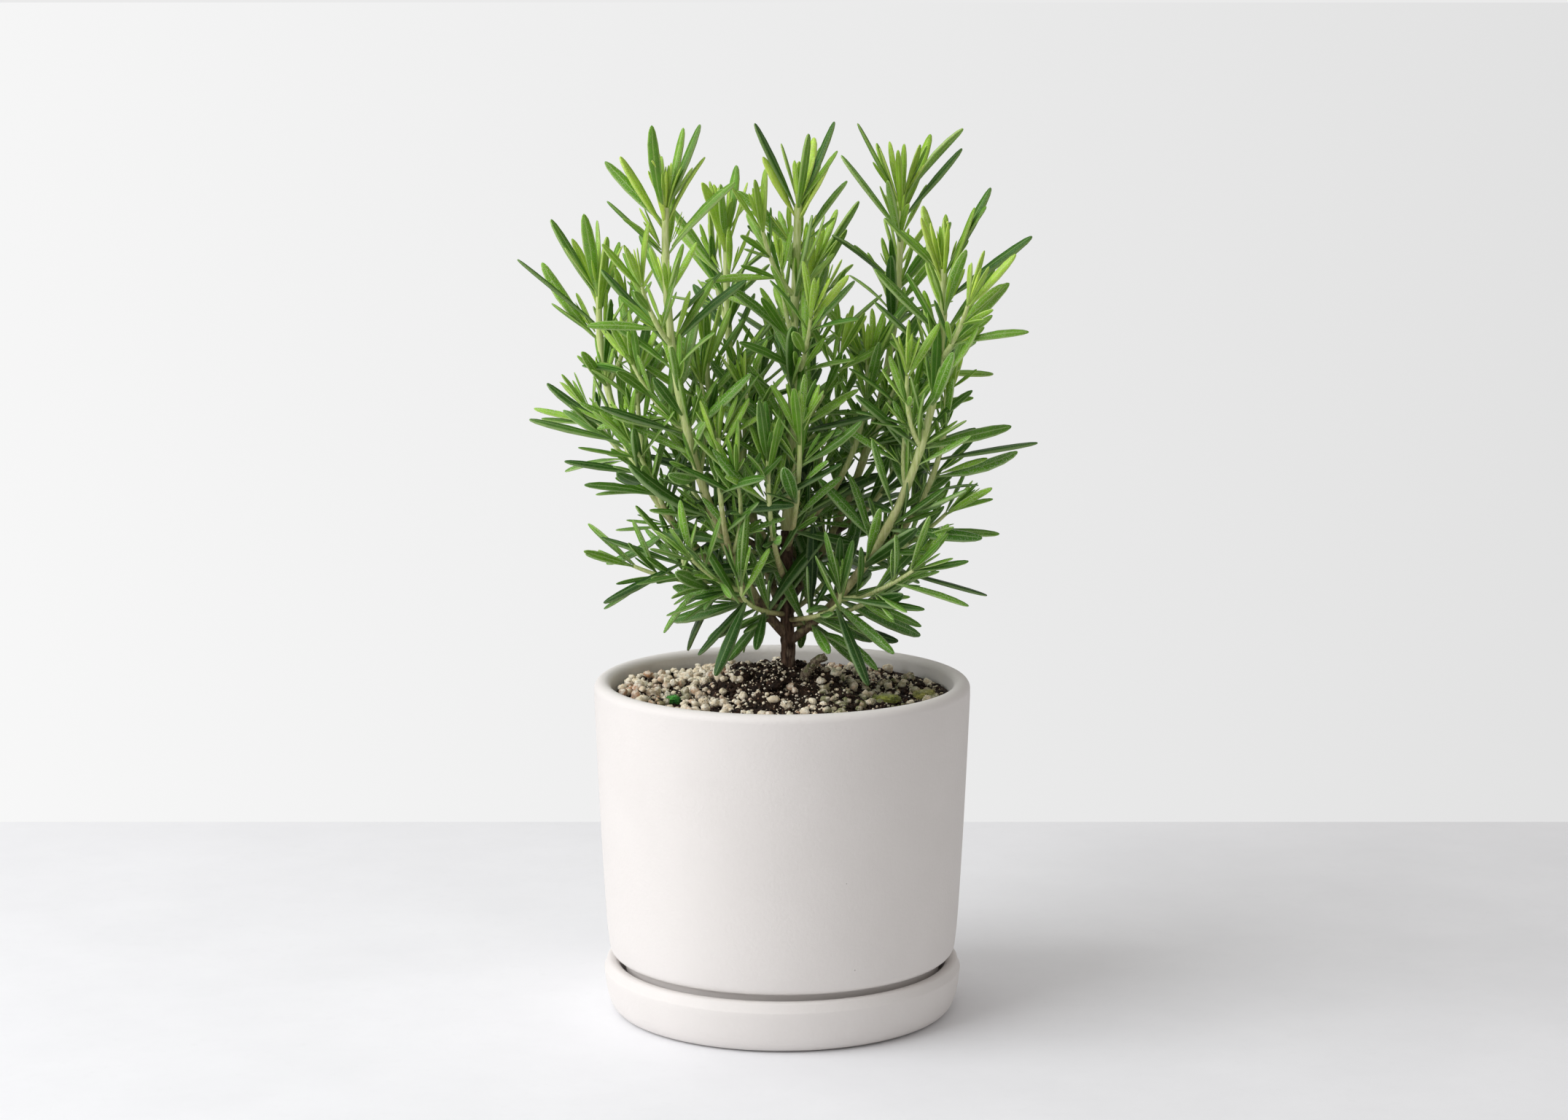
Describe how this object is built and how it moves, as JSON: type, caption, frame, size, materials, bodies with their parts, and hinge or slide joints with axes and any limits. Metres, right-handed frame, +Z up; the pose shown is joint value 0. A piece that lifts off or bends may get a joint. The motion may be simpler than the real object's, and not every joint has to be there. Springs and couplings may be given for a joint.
{
  "type": "potted rosemary plant",
  "caption": "Young rosemary in a matte white ceramic pot on a matching saucer: a woody trunk with upright leafy shoots in potting mix dressed with pumice grains.",
  "frame": {"origin": "centre of the saucer's flat underside", "axes": "+Z up along the axis of the pot and saucer; -Y is the side that faces the viewer, with the lowest shoots; +X is the viewer's right"},
  "size_m": [0.1814, 0.138, 0.3084],
  "materials": {
    "saucer_ceramic": "matte off-white glaze, fine grained",
    "pot_ceramic": "matte off-white glaze, fine grained",
    "potting_mix": "damp crumbly peat and bark",
    "bark": "rough, furrowed",
    "dead_wood": "weathered, grey-green",
    "foliage": "satin, pebbled leaves on pale green stems",
    "pumice": "dry and pitted",
    "moss": "soft and tufted",
    "moss_bright": "soft, fresh growth"
  },
  "bodies": {
    "root": {"saucer": "saucer_ceramic", "pot": "pot_ceramic", "potting_mix": "potting_mix", "trunk": "bark", "dead_stub": "dead_wood", "leader": "foliage", "left_front_branch": "foliage", "right_front_branch": "foliage", "far_left_branch": "foliage", "back_right_branch": "foliage", "back_left_branch": "foliage", "back_branch": "foliage", "right_outer_shoot": "foliage", "left_outer_shoot": "foliage", "front_left_shoot": "foliage", "back_left_low_shoot": "foliage", "back_right_low_shoot": "foliage", "front_right_shoot": "foliage", "inner_right_shoot": "foliage", "inner_left_shoot": "foliage", "front_shoot": "foliage", "back_low_shoot": "foliage", "low_left_shoot": "foliage", "low_right_shoot": "foliage", "low_front_left_shoot": "foliage", "low_front_right_shoot": "foliage", "low_back_shoot": "foliage", "pumice_1": "pumice", "pumice_2": "pumice", "pumice_3": "pumice", "pumice_4": "pumice", "pumice_5": "pumice", "pumice_6": "pumice", "pumice_7": "pumice", "pumice_8": "pumice", "pumice_9": "pumice", "pumice_10": "pumice", "pumice_11": "pumice", "pumice_12": "pumice", "pumice_13": "pumice", "pumice_14": "pumice", "pumice_15": "pumice", "pumice_16": "pumice", "peat_lump_left": "potting_mix", "peat_lump_right": "potting_mix", "peat_lump_front": "potting_mix", "peat_lump_back": "potting_mix", "moss_right": "moss", "moss_far_right": "moss", "moss_left": "moss_bright"}
  },
  "joints": []
}
